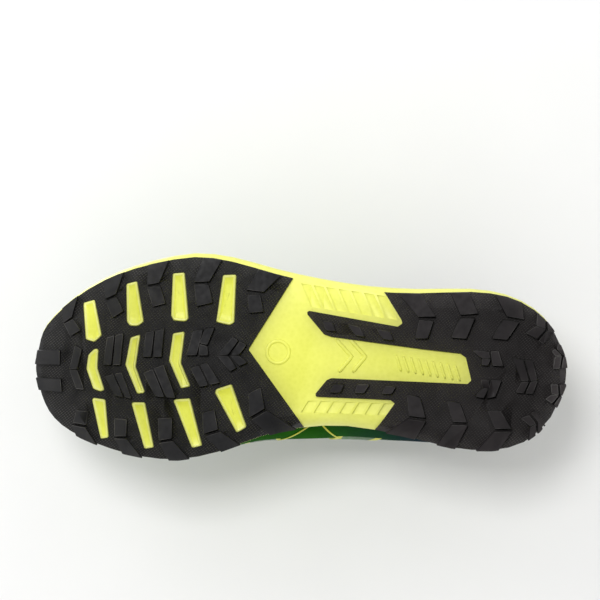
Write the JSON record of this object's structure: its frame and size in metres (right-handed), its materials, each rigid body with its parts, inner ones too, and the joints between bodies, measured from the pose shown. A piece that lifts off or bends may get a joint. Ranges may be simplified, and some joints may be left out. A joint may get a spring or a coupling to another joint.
{
  "type": "running shoe",
  "caption": "Left trail running shoe with a lugged rubber outsole, a thick foam midsole, a laced knitted upper, a padded tongue and collar and a loose sockliner.",
  "frame": {"origin": "on the ground, under the centre of the shoe's box", "axes": "toe to -Y, heel to +Y, outer side of the left foot to +X, up to +Z"},
  "size_m": [0.1129, 0.2923, 0.1179],
  "materials": {
    "outsole_rubber": "matte",
    "midsole_foam": "satin",
    "board": "matte",
    "plate": "satin",
    "sockliner_foam": "matte",
    "lining_fabric": "matte",
    "knit_fabric": "matte",
    "stiffener": "matte",
    "padding": "matte",
    "heel_film": "satin",
    "green_film": "satin",
    "yellow_film": "satin",
    "lace_webbing": "matte",
    "aglet_plastic": "gloss",
    "tab_webbing": "matte"
  },
  "bodies": {
    "root": {"outsole_forefoot": "outsole_rubber", "outsole_heel": "outsole_rubber", "midsole": "midsole_foam", "strobel_board": "board", "rock_plate": "plate", "upper_mesh": "knit_fabric", "lining": "lining_fabric", "toe_puff": "stiffener", "heel_counter": "stiffener", "collar_foam": "padding", "toe_bumper": "outsole_rubber", "heel_overlay": "heel_film", "mudguard": "green_film", "saddle_lateral": "yellow_film", "saddle_medial": "yellow_film", "eyestay_lateral": "green_film", "eyestay_medial": "green_film", "lace": "lace_webbing", "aglets": "aglet_plastic"},
    "tongue": {"tongue_foam": "padding", "tongue_cover": "knit_fabric"},
    "sockliner_body": {"sockliner": "sockliner_foam", "sockliner_cover": "lining_fabric"},
    "pull_tab": {"heel_pull_tab": "tab_webbing"}
  },
  "joints": [
    {"name": "tongue_tilt", "type": "hinge", "parent": "root", "child": "tongue", "pos_m": [-0.004, -0.078, 0.06], "axis": [1, 0, 0], "range_deg": [-10, 0], "stiffness_Nm_per_rad": 0.3, "springref_deg": 5.73},
    {"name": "sockliner_lift", "type": "hinge", "parent": "root", "child": "sockliner_body", "pos_m": [0, -0.136, 0.031], "axis": [1, 0, 0], "range_deg": [0, 3]},
    {"name": "pull_tab_flex", "type": "hinge", "parent": "root", "child": "pull_tab", "pos_m": [-0.008, 0.1336, 0.1013], "axis": [1, 0, 0], "range_deg": [-25, 25], "stiffness_Nm_per_rad": 0.05}
  ]
}
